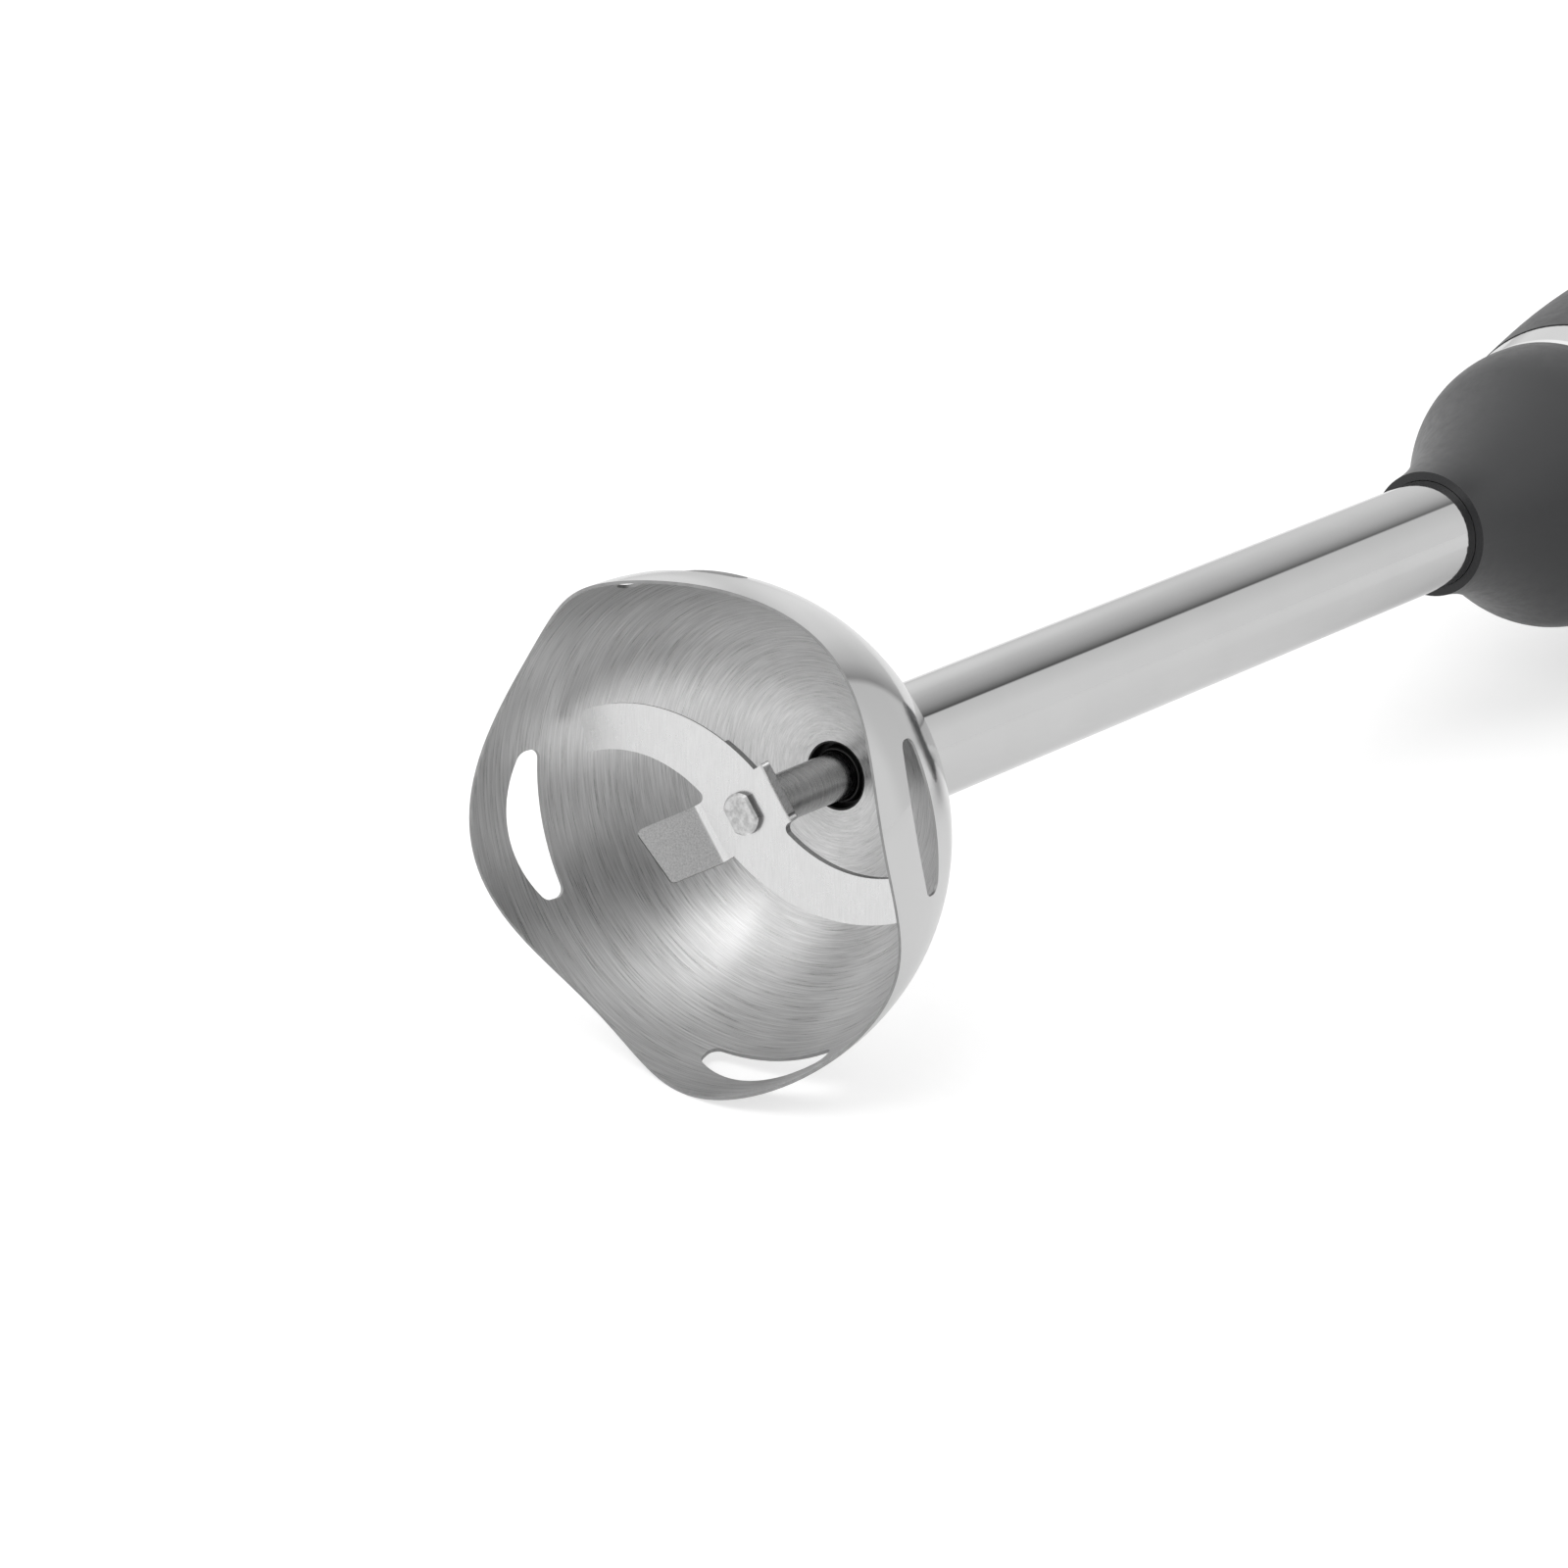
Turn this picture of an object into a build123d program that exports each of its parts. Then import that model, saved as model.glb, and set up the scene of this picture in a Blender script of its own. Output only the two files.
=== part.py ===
from build123d import *
import os
from math import atan2, cos, degrees, hypot, pi, radians, sin, sqrt

# Immersion blender, lying on its back as it is laid down on a worktop.
# The tool axis is level and runs along +Y, from the bell's mouth to the speed dial.
# The buttons face up (+Z). All pieces are drawn in the tool frame, whose origin is
# the centre of the bell's sphere on the tool axis, and placed in the part's frame
# when they are written. Sizes are in millimetres.

# ---- driving dimensions: blending foot ----
BELL_R = 33.2            # outside radius of the spherical bell
BELL_WALL = 0.4
RIM_MEAN = 0.8           # mean height of the wavy rim above the sphere's centre
RIM_WAVE = 3.19          # the four lobes reach this far below the mean height
LOBE_ANGLE = 12.2        # direction of the first lobe, from +X towards +Z
LOBES = 4
BELL_HOLE_R = 4.6        # hole at the top of the bell for seal and shaft
HUB_FACE = 31.4          # flat face around the hole, inside the bell
HUB_ROUND = 20.0         # rounding between that face and the sphere
NECK_FILLET = 1.8        # brazed fillet between bell and tube
SLOT_LOW = 4.2           # lowest point of a crescent slot
SLOT_TOP = 9.95          # straight upper edge of a slot
SLOT_ARC_R = 19.0        # curvature of a slot's lower edge
SLOT_HALF = 9.8
SLOT_CORNER = 1.5

TUBE_R = 8.0
TUBE_WALL = 0.8
TUBE_END = 203.4

SHAFT_R = 3.12
SHAFT_TIP_R = 2.75       # double-D end that carries the blade
SHAFT_TIP_FLAT = 2.25    # half the distance across the flats
SHAFT_TIP_END = 11.3
SHAFT_END = 213.5
BUSH_GAP = 0.05          # radial running clearance in every plain bearing

BLADE_FACE = 12.2        # the blade's lower face
BLADE_T = 0.9
BLADE_TURN = 35.5        # direction of the tabs, from +X towards +Z
BLADE_REACH = 26.9
ARM_X = -14.3            # centre of an arm's outer edge
ARM_Z = -15.2
ARM_R = 26.5
BEVEL = 1.5              # width of the ground bevel on the back of the outer edge
BEVEL_EDGE = 0.2         # thickness left at the cutting edge
BEVEL_START = 65.0       # direction from the arm's centre where the bevel runs out
TAB_HALF = 4.0
TAB_ROOT = 5.7           # where the flat hub ends and the bend begins
TAB_BEND_R = 1.5
TAB_BEND = 50.0
TAB_LENGTH = 7.15        # mean length of the flat end
TAB_SKEW = 0.55          # one end corner is this much longer, the other shorter
TAB_CORNER = 0.7

# ---- driving dimensions: motor unit ----
NOSE = 213.0             # parting face between foot and motor unit
SHELL_START = 219.15
SHELL_END = 394.0
CAP_END = 404.0
DIAL_END = 412.0
SHELL_WALL = 2.4
# station along the axis, half width, half height of the handle
HANDLE = [
    (213.0, 21.5, 21.6),
    (219.0, 22.8, 22.9),
    (236.0, 26.2, 26.3),
    (258.0, 28.3, 28.5),
    (285.0, 28.1, 28.7),
    (315.0, 26.0, 27.6),
    (345.0, 24.6, 26.8),
    (375.0, 25.0, 27.1),
    (394.0, 25.3, 27.4),
    (404.0, 24.6, 26.8),
]
SPIGOT_R = 13.0          # foot's spigot in the motor unit's socket
SOCKET_R = 13.3
SOCKET_OUT = 15.5
CATCH_START = 222.2      # catch groove of the spigot and windows of the socket
CATCH_END = 228.0
MOTOR_SHAFT_R = 3.0
STACK_START = 264.0      # laminated stack of stator and armature
STACK_END = 290.0
STATOR_R = 23.0
BORE_R = 13.6
ARMATURE_R = 13.0
POLE_HALF_ANGLE = 55.0
COMMUTATOR_R = 8.2
BRUSH_Y = 303.0
BRUSH_HALF = 2.5
BOARD_Z = 3.5
BOARD_T = 1.6
SWITCH_H = 6.5
ON_Y = 341.0
TURBO_Y = 363.5
BUTTON_W = 17.0
BUTTON_L = 19.0
BUTTON_GAP = 0.35
BUTTON_UNDERSIDE = 19.5
RELEASE_Y = 225.0
RELEASE_L = 9.0
RELEASE_H = 14.0
RELEASE_YOKE_R = 16.8
RELEASE_YOKE_T = 2.2
RELEASE_OFFSET = 1.0
DIAL_R = 14.5
DIAL_Z = 8.5
GLAND_Z = -14.6
GLAND_BORE_R = 3.4
SCREW_X = 17.5
SCREW_YS = (324.0, 384.0)
HEEL_Y = 370.0
AXIS_HEIGHT = BELL_R     # the bell's side and the rest heel stand on z = 0

LOBE_REACH = RIM_WAVE - RIM_MEAN
OVERALL_LENGTH = DIAL_END + LOBE_REACH
TOOL_FRAME = Location((0, LOBE_REACH - OVERALL_LENGTH / 2, AXIS_HEIGHT))


# ---- drawing helpers ----
def across(y):
    """Plane square to the tool axis at y: its first axis is +X, its second +Z."""
    return Plane(origin=(0, y, 0), x_dir=(1, 0, 0), z_dir=(0, -1, 0))


def prism(outline, start, end):
    """Solid between two stations along the axis from an outline drawn in X and Z."""
    return extrude(across(start) * outline, amount=start - end)


def ring(outer, inner, start, end):
    outline = Circle(outer)
    if inner:
        outline -= Circle(inner)
    return prism(outline, start, end)


def turned(points):
    """Body of revolution about the tool axis from its (radius, station) corners."""
    return revolve(make_face(Polyline(*points, close=True)), Axis.Y)


def block(x_range, y_range, z_range):
    size = [high - low for low, high in (x_range, y_range, z_range)]
    middle = [(high + low) / 2 for low, high in (x_range, y_range, z_range)]
    return Pos(*middle) * Box(*size)


def standing(outline, low, high):
    """Solid between two heights from an outline drawn in X and Y."""
    return extrude(Plane.XY.offset(low) * outline, amount=high - low)


def wedge(radius, half_angle, direction):
    """Sector of a disc in X and Z, centred on a direction in degrees."""
    left, right = direction + half_angle, direction - half_angle
    rim = [(radius * cos(radians(a)), radius * sin(radians(a))) for a in (right, direction, left)]
    return make_face([Line((0, 0), rim[0]), ThreePointArc(*rim), Line(rim[2], (0, 0))])


def coil(radius, wire, length, turns):
    """Open helical spring standing on the XY plane."""
    path = Helix(pitch=(length - 2 * wire) / turns, height=length - 2 * wire, radius=radius)
    start = Plane(origin=path @ 0, z_dir=path % 0)
    return Pos(0, 0, wire) * sweep(start * Circle(wire), path=path)


def handle_body(grow=0.0):
    """The handle's smooth oval body, with every section grown by the given amount."""
    return loft([across(y) * Ellipse(a + grow, b + grow) for y, a, b in HANDLE])


def handle_at(y):
    """Half width and half height of the handle, along straight lines between stations."""
    for (y0, a0, b0), (y1, a1, b1) in zip(HANDLE, HANDLE[1:]):
        if y0 <= y <= y1:
            share = (y - y0) / (y1 - y0)
            return (a0 + (a1 - a0) * share, b0 + (b1 - b0) * share)
    raise ValueError("station beyond the handle")


# ---- blending foot ----
def rim_height(x, z):
    """Height of the rim's cut: a wave of four lobes that is level across the sheet."""
    share = hypot(x, z) / BELL_R
    level = 5 * share ** 4 - 4 * share ** 5
    turn = degrees(atan2(z, x)) - LOBE_ANGLE
    return RIM_MEAN - RIM_WAVE * level * cos(radians(LOBES * turn))


def below_the_rim():
    span = BELL_R + 3
    steps = [span * (i / 20 - 1) for i in range(41)]
    surface = Face.make_surface_from_array_of_points([[(x, rim_height(x, z), z) for z in steps] for x in steps])
    return extrude(surface, amount=40, dir=(0, -1, 0))


def sphere_arc(radius, start, end):
    first, last = atan2(start[1], start[0]), atan2(end[1], end[0])
    middle = (first + last) / 2
    return ThreePointArc(start, (radius * cos(middle), radius * sin(middle)), end)


def bell_guard():
    skirt = -5.0
    inner_r = BELL_R - BELL_WALL
    outer_low = (sqrt(BELL_R ** 2 - skirt ** 2), skirt)
    inner_low = (sqrt(inner_r ** 2 - skirt ** 2), skirt)
    fillet_x = TUBE_R + NECK_FILLET
    fillet_y = sqrt((BELL_R + NECK_FILLET) ** 2 - fillet_x ** 2)
    share = BELL_R / (BELL_R + NECK_FILLET)
    touch = (fillet_x * share, fillet_y * share)
    turn = (atan2(touch[1] - fillet_y, touch[0] - fillet_x) + pi) / 2 + pi
    fillet_middle = (fillet_x + NECK_FILLET * cos(turn), fillet_y + NECK_FILLET * sin(turn))
    neck_top = (TUBE_R, fillet_y)
    hub_back = HUB_FACE + BELL_WALL
    shoulder = (sqrt(inner_r ** 2 - HUB_FACE ** 2), HUB_FACE)
    outline = [
        sphere_arc(BELL_R, outer_low, touch),
        ThreePointArc(touch, fillet_middle, neck_top),
        Polyline(neck_top, (TUBE_R, hub_back), (BELL_HOLE_R, hub_back), (BELL_HOLE_R, HUB_FACE), shoulder),
        sphere_arc(inner_r, shoulder, inner_low),
        Line(inner_low, outer_low),
    ]
    bell = revolve(make_face(outline), Axis.Y)
    shoulder_edge = [edge for edge in bell.edges() if abs(edge.center().Y - HUB_FACE) < 0.01 and edge.radius > 6]
    bell = fillet(shoulder_edge, HUB_ROUND) - below_the_rim()
    for lobe in range(LOBES):
        bell -= slot_cutter(LOBE_ANGLE + lobe * 360 / LOBES)
    return bell


def slot_cutter(direction):
    """Crescent slot through the bell's wall, pushed outwards from the axis."""
    disc = Pos(0, SLOT_LOW + SLOT_ARC_R) * Circle(SLOT_ARC_R)
    height = SLOT_TOP - SLOT_LOW + 2
    window = Pos(0, SLOT_TOP - height / 2) * Rectangle(2 * SLOT_HALF, height)
    crescent = disc & window
    crescent = fillet(crescent.vertices(), SLOT_CORNER)
    outward = Plane(origin=(0, 0, 0), x_dir=(0, 0, -1), z_dir=(1, 0, 0))
    cutter = extrude(outward * crescent, amount=BELL_R + 5) - block((-1, 20), (0, 20), (-20, 20))
    return Rot(0, -direction, 0) * cutter


def shaft_tube():
    return ring(TUBE_R, TUBE_R - TUBE_WALL, HUB_FACE + BELL_WALL, TUBE_END)


def shaft_seal():
    """Lip seal: a sleeve in the bell's hole, a recess, and a collar that hugs the shaft."""
    lip, sleeve = SHAFT_R + 0.08, BELL_HOLE_R - 0.25
    face, recess = HUB_FACE + 0.05, HUB_FACE + 1.8
    return turned([
        (BELL_HOLE_R, face), (BELL_HOLE_R, 38.5), (lip + 0.8, 38.5), (lip + 0.5, 35.5),
        (lip, 35.0), (lip, face + 0.45), (lip + 0.2, face + 0.15), (lip + 0.35, face + 0.25),
        (lip + 0.65, recess), (sleeve, recess), (sleeve, face),
    ])


def seal_carrier():
    return ring(TUBE_R - TUBE_WALL, BELL_HOLE_R, HUB_FACE + BELL_WALL, 52.0)


def lower_bush():
    return ring(BELL_HOLE_R, SHAFT_R + BUSH_GAP, 39.0, 51.5)


def thrust_washer():
    return ring(5.8, SHAFT_R + BUSH_GAP, 52.0, 52.6)


def shaft_clips():
    """Two retaining rings, open on one side, pressed on the drive shaft."""
    gap = block((0, 6), (50, 190), (-1.2, 1.2))
    clips = [ring(4.4, SHAFT_R, start, start + 0.8) - gap for start in (52.9, 187.9)]
    return Compound(children=clips)


def upper_bush_carrier():
    return turned([
        (4.6, 189.0), (TUBE_R - TUBE_WALL, 189.0), (TUBE_R - TUBE_WALL, TUBE_END),
        (10.6, TUBE_END), (10.6, 205.0), (4.6, 205.0),
    ])


def upper_bush():
    return ring(4.6, SHAFT_R + BUSH_GAP, 193.0, 203.5)


def foot_collar():
    """Cone that carries the tube, with the spigot that goes into the motor unit."""
    bore, sleeve_end, base = TUBE_R + 0.05, 184.0, NOSE - 0.4
    flare = Spline((9.3, 176.0), (12.6, 189.0), (18.6, 201.0), (21.5, base - 2.5), tangents=((0.1, 1), (0.05, 1)))
    inside = [
        (21.5, base - 2.5), (21.5, base - 0.4), (21.1, base), (SPIGOT_R, base),
        (SPIGOT_R, 216.1), (11.55, 216.1), (11.55, 217.9), (SPIGOT_R, 217.9),
        (SPIGOT_R, CATCH_START), (12.0, CATCH_START), (12.0, CATCH_END), (SPIGOT_R, CATCH_END),
        (SPIGOT_R, 229.7), (12.2, 230.5), (10.8, 230.5), (10.8, sleeve_end),
        (bore, sleeve_end), (bore, 176.0), (9.3, 176.0),
    ]
    return revolve(make_face([flare, Polyline(*inside)]), Axis.Y)


def collar_oring():
    section = Pos(12.35, 217.0) * Circle(0.78)
    return revolve(section, Axis.Y)


def collar_sleeve():
    slit = block((TUBE_R - 1, 12), (184, 203), (-0.6, 0.6))
    return ring(10.8, TUBE_R, 184.2, 203.3) - slit


def cross_section(grow):
    """Four-lug dog: the motor's plug, or with clearance added, the foot's pocket."""
    hub = Circle(5.2 + grow)
    lug = Rectangle(15 + 2 * grow, 4.4 + 2 * grow)
    return hub + lug + Rot(0, 0, 90) * lug


def driven_dog():
    hub = ring(9.6, 0, 205.6, 222.5)
    pocket = prism(cross_section(0.35), 214.5, 223.0)
    shaft_hole = ring(SHAFT_R, 0, 205.0, 215.0)
    return hub - pocket - shaft_hole


def double_d(grow=0.0):
    flats = Rectangle(2 * (SHAFT_TIP_FLAT + grow), 20)
    return Rot(0, 0, BLADE_TURN) * (Circle(SHAFT_TIP_R + grow) & flats)


def drive_shaft():
    shoulder = BLADE_FACE + BLADE_T
    tip = prism(double_d(), SHAFT_TIP_END, shoulder)
    tip = chamfer(tip.faces().sort_by(Axis.Y)[0].edges(), 0.3)
    return tip + ring(SHAFT_R, 0, shoulder, SHAFT_END)


def blade_arm():
    """Sickle-shaped arm, drawn in X and Z: an outer and an inner round edge."""
    outer = Pos(ARM_X, ARM_Z) * Circle(ARM_R)
    inner = Pos(-17.6, -14.2) * Circle(18.9)
    beside_hub = Rot(0, 0, BLADE_TURN) * Pos(-20, TAB_HALF - 0.5 + 25) * Rectangle(60, 50)
    sickle = (outer - inner) & beside_hub & Circle(BLADE_REACH + 1)
    return sickle - Pos(-BLADE_REACH - 10, 6) * Rot(0, 0, 14.5) * Rectangle(21.6, 40)


def bevel_cutter():
    """Removes the back of an arm along its outer edge, from the tip to near the hub."""
    back, span = BLADE_FACE + BLADE_T, 37.0
    profile = turned([
        (ARM_R - BEVEL, back), (ARM_R, BLADE_FACE + BEVEL_EDGE), (ARM_R + 2, BLADE_FACE + BEVEL_EDGE),
        (ARM_R + 2, back + 1), (ARM_R - BEVEL, back + 1),
    ])
    sector = prism(wedge(40, span, BEVEL_START + span), BLADE_FACE, back + 1)
    return Pos(ARM_X, 0, ARM_Z) * (profile & sector)


def flat_blade():
    """Hub and two arms, with the arms' tips and the corners beside the tabs rounded."""
    hub = Rot(0, 0, BLADE_TURN) * Rectangle(2 * TAB_ROOT, 2 * TAB_HALF)
    arm = blade_arm()
    plate = prism(hub + arm + Rot(0, 0, 180) * arm, BLADE_FACE, BLADE_FACE + BLADE_T)
    corners = plate.edges().filter_by(Axis.Y)
    plate = fillet(corners.filter_by(is_outer_tip), 1.8)
    corners = plate.edges().filter_by(Axis.Y)
    plate = fillet(corners.filter_by(is_inner_root), 0.9)
    return plate - bevel_cutter() - Rot(0, 180, 0) * bevel_cutter()


def is_outer_tip(edge):
    """True for the corner of an arm's end that is farthest from the axis."""
    return hypot(edge.center().X, edge.center().Z) > BLADE_REACH


def is_inner_root(edge):
    """True for the inward corner where an arm's inner edge meets a tab's side."""
    x, z = edge.center().X, edge.center().Z
    c, s = cos(radians(BLADE_TURN)), sin(radians(BLADE_TURN))
    along, beside = x * c + z * s, z * c - x * s
    return 3 < abs(along) < TAB_ROOT - 0.5 and abs(beside) < TAB_HALF + 0.5 and along * beside < 0


def tab():
    """Tab bent out towards the bell's mouth: a bend, then a slightly skewed flat end."""
    bend_centre = BLADE_FACE - TAB_BEND_R
    turn = radians(TAB_BEND)

    def on_bend(radius, angle):
        return (radius * sin(angle), bend_centre + radius * cos(angle))

    outer_r, inner_r = TAB_BEND_R + BLADE_T, TAB_BEND_R
    profile = make_face([
        ThreePointArc(on_bend(outer_r, 0), on_bend(outer_r, turn / 2), on_bend(outer_r, turn)),
        Line(on_bend(outer_r, turn), on_bend(inner_r, turn)),
        ThreePointArc(on_bend(inner_r, turn), on_bend(inner_r, turn / 2), on_bend(inner_r, 0)),
        Line(on_bend(inner_r, 0), on_bend(outer_r, 0)),
    ])
    upright = Plane(origin=(TAB_ROOT, 0, 0), x_dir=(1, 0, 0), z_dir=(0, 0, 1))
    bend = extrude(upright * profile, amount=TAB_HALF, both=True)
    end_x, end_y = on_bend(inner_r, turn)
    flat_plane = Plane(
        origin=(TAB_ROOT + end_x, end_y, 0),
        x_dir=(cos(turn), -sin(turn), 0),
        z_dir=(sin(turn), cos(turn), 0),
    )
    outline = make_face(Polyline(
        (0, -TAB_HALF), (TAB_LENGTH - TAB_SKEW, TAB_SKEW - TAB_HALF),
        (TAB_LENGTH + TAB_SKEW, TAB_SKEW + TAB_HALF), (0, TAB_HALF), close=True,
    ))
    outline = fillet(outline.vertices().sort_by(Axis.X)[-2:], TAB_CORNER)
    return bend + extrude(flat_plane * outline, amount=BLADE_T)


def blade():
    body = flat_blade()
    for turn in (BLADE_TURN, BLADE_TURN + 180):
        body += Rot(0, -turn, 0) * tab()
    return body - prism(double_d(), BLADE_FACE - 1, BLADE_FACE + BLADE_T + 1)


# ---- motor unit: casing ----
def between(start, end):
    return block((-60, 60), (start, end), (-60, 60))


def shell_blank():
    walls = handle_body() - handle_body(-SHELL_WALL)
    return walls & between(SHELL_START, SHELL_END)


def panel_outline(grow=0.0):
    middle, length, width = (ON_Y + TURBO_Y) / 2, 58.0, 25.0
    return Pos(0, middle) * RectangleRounded(width + 2 * grow, length + 2 * grow, 11 + grow)


def button_outline(y, grow=0.0):
    return Pos(0, y) * RectangleRounded(BUTTON_W + 2 * grow, BUTTON_L + 2 * grow, 7 + grow)


def control_panel():
    skin = handle_body(0.4) - handle_body(-0.8)
    panel = skin & standing(panel_outline(), 10, 40)
    for y in (ON_Y, TURBO_Y):
        panel -= standing(button_outline(y, BUTTON_GAP), 10, 40)
    return panel


def grip_outline(grow=0.0):
    return Pos(0, 318) * RectangleRounded(26 + 2 * grow, 140 + 2 * grow, 12.9 + grow)


def grip_pad():
    """Soft overmould on the back, with shallow cross grooves."""
    pad = (handle_body(0.6) - handle_body(-1.0)) & standing(grip_outline(), -40, -10)
    groove_skin = handle_body(0.8) - handle_body(0.15)
    for i in range(12):
        y = 258 + i * 7.5
        pad -= groove_skin & block((-10, 10), (y - 0.6, y + 0.6), (-40, -10))
    return pad


def rest_heel():
    """Rubber heel whose flat underside keeps the blender from rolling away."""
    foot = RectangleRounded(24, 28, 8)
    heel = standing(Pos(0, HEEL_Y) * foot, -AXIS_HEIGHT, -18)
    heel = chamfer(heel.faces().sort_by(Axis.Z)[0].edges(), 0.8)
    return heel - handle_body(0.6)


def vents(upper):
    """Air slots on both sides of the casing, beside the fan and beside the commutator."""
    low, high = (4.0, 14.0) if upper else (-14.0, -4.0)
    cuts = []
    for first, count in ((247.0, 5), (297.0, 4)):
        for i in range(count):
            y = first + i * 4.2
            slot = Pos(y, (low + high) / 2) * Rot(0, 0, 90) * SlotOverall(high - low, 2.0)
            side = Plane(origin=(0, 0, 0), x_dir=(0, 1, 0), z_dir=(1, 0, 0))
            cuts.append(extrude(side * slot, amount=45, both=True))
    core = block((-19, 19), (200, 330), (-30, 30))
    return [cut - core for cut in cuts]


def release_outline(grow=0.0):
    """The release button's face, drawn in Y and Z."""
    return Pos(RELEASE_Y, 0) * RectangleRounded(RELEASE_L + 2 * grow, RELEASE_H + 2 * grow, 3.5 + grow)


def release_window():
    side = Plane(origin=(0, 0, 0), x_dir=(0, 1, 0), z_dir=(1, 0, 0))
    hole = extrude(side * release_outline(BUTTON_GAP), amount=45, both=True)
    return hole - block((-19, 19), (200, 260), (-30, 30))


def screw_places():
    return [(x, y) for y in SCREW_YS for x in (-SCREW_X, SCREW_X)]


def front_shell():
    shell = shell_blank() & block((-60, 60), (200, 420), (0.1, 60))
    body = handle_body()
    for x, y in screw_places():
        shell += body & standing(Pos(x, y) * Circle(3.4), 0.1, 20)
        shell -= standing(Pos(x, y) * Circle(1.5), 0, 9)
    shell -= control_panel()
    for y in (ON_Y, TURBO_Y):
        shell -= standing(button_outline(y, BUTTON_GAP), 12, 40)
    for cut in vents(upper=True):
        shell -= cut
    return shell - release_window()


def back_shell():
    shell = shell_blank() & block((-60, 60), (200, 420), (-60, -0.1))
    body = handle_body()
    for x, y in screw_places():
        shell += body & standing(Pos(x, y) * Circle(3.9), -20, -0.1)
        shell -= standing(Pos(x, y) * Circle(1.75), -30, 0)
        shell -= standing(Pos(x, y) * Circle(3.1), -40, -9)
    shell -= standing(grip_outline(), -40, -10) & (handle_body(3) - handle_body(-1.0))
    for cut in vents(upper=False):
        shell -= cut
    return shell - release_window()


def housing_screws():
    screws = []
    for x, y in screw_places():
        head = standing(Pos(x, y) * Circle(2.9), -11.2, -9)
        recess = standing(Pos(x, y) * (Rectangle(3.4, 0.8) + Rectangle(0.8, 3.4)), -11.3, -10)
        screws.append(head - recess + standing(Pos(x, y) * Circle(1.5), -9, 8))
    return Compound(children=screws)


def nose_ring():
    """Steel trim ring around the parting face, with a lip inside the shells."""
    return turned([
        (19.5, NOSE), (20.9, NOSE), (21.6, NOSE + 0.7), (22.75, 219.0), (20.2, 219.0),
        (20.2, 221.4), (19.2, 221.4), (19.2, 217.5), (19.5, 217.0),
    ])


def socket():
    """Moulded socket that takes the foot's spigot, with windows for the catches."""
    body = turned([
        (SOCKET_R + 0.6, NOSE + 0.4), (19.4, NOSE + 0.4), (19.4, 216.8), (SOCKET_OUT, 216.8),
        (SOCKET_OUT, 232.5), (21.6, 232.5), (21.6, 235.0), (5.8, 235.0), (5.8, 232.5),
        (SOCKET_R, 232.5), (SOCKET_R, NOSE + 1.0),
    ])
    return body - block((-18, 18), (CATCH_START, CATCH_END), (-4.2, 4.2))


def end_cap():
    """Closes the casing: a shallow cup with a lip inside the shells."""
    outside = handle_body() & between(SHELL_END + 0.15, CAP_END)
    outside = fillet(outside.faces().sort_by(Axis.Y)[-1].edges(), 3.0)
    cavity = handle_body(-SHELL_WALL) & between(SHELL_END - 1, CAP_END - 3)
    lip = (handle_body(-SHELL_WALL - 0.15) - handle_body(-SHELL_WALL - 1.6)) & between(389.5, CAP_END - 3)
    cap = outside - cavity + lip
    cap -= prism(Pos(0, DIAL_Z) * Circle(4.6), 395, 410)
    return cap - prism(Pos(0, GLAND_Z) * Circle(5.2), 395, 410)


def cord_gland():
    gland = turned([
        (GLAND_BORE_R, 398.5), (6.2, 398.5), (6.2, 401.0), (5.2, 401.0), (5.2, CAP_END),
        (6.2, CAP_END), (6.2, 406.4), (5.6, 407.0), (4.8, 411.0), (GLAND_BORE_R, 411.0),
    ])
    return Pos(0, 0, GLAND_Z) * gland


# ---- motor unit: motor ----
def front_bracket():
    rim = ring(22.4, 19.6, 240.5, 243.0)
    hub = ring(9.2, 7.5, 238.5, 246.5)
    spokes = Rectangle(44, 5) + Rectangle(5, 44)
    arms = prism(spokes & (Circle(20.5) - Circle(8.5)), 240.5, 243.0)
    legs = legs_at_corners(20.9, 22.3, 243.0, STACK_START)
    return rim + hub + arms + legs


def legs_at_corners(inner, outer, start, end):
    legs = prism(Rectangle(60, 6) & (Circle(outer) - Circle(inner)), start, end)
    across_diagonals = Rot(0, 45, 0) * legs + Rot(0, -45, 0) * legs
    return across_diagonals


def rear_bracket():
    """Bearing bracket that also carries the brush holders."""
    disc = ring(21.0, 6.5, 310.5, 313.5)
    hub = ring(8.5, 6.5, 309.8, 316.2)
    arms = legs_at_corners(19.3, 21.0, STACK_END, 310.5)
    saddles = block((12, 20), (306.2, 310.5), (-3.2, 3.2)) + block((-20, -12), (306.2, 310.5), (-3.2, 3.2))
    return disc + hub + arms + saddles


def front_damper():
    return ring(24.1, 22.4, 240.2, 243.3)


def rear_damper():
    return ring(23.0, 21.0, 310.2, 313.8)


def front_bearing():
    return ring(7.5, MOTOR_SHAFT_R + BUSH_GAP, 238.5, 246.5)


def rear_bearing():
    return ring(6.5, MOTOR_SHAFT_R + BUSH_GAP, 309.8, 316.2)


def stator_core():
    """Laminated ring with two poles, above and below the armature."""
    yoke = (Circle(STATOR_R) & Rectangle(2 * STATOR_R, 42)) - Circle(18.4)
    shoes = Circle(15.8) - Circle(BORE_R)
    necks = Rectangle(12, 38) - Circle(15)
    for direction in (90, 270):
        yoke += shoes & wedge(30, POLE_HALF_ANGLE, direction)
    return prism(yoke + (necks & Circle(19)), STACK_START, STACK_END)


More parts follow.
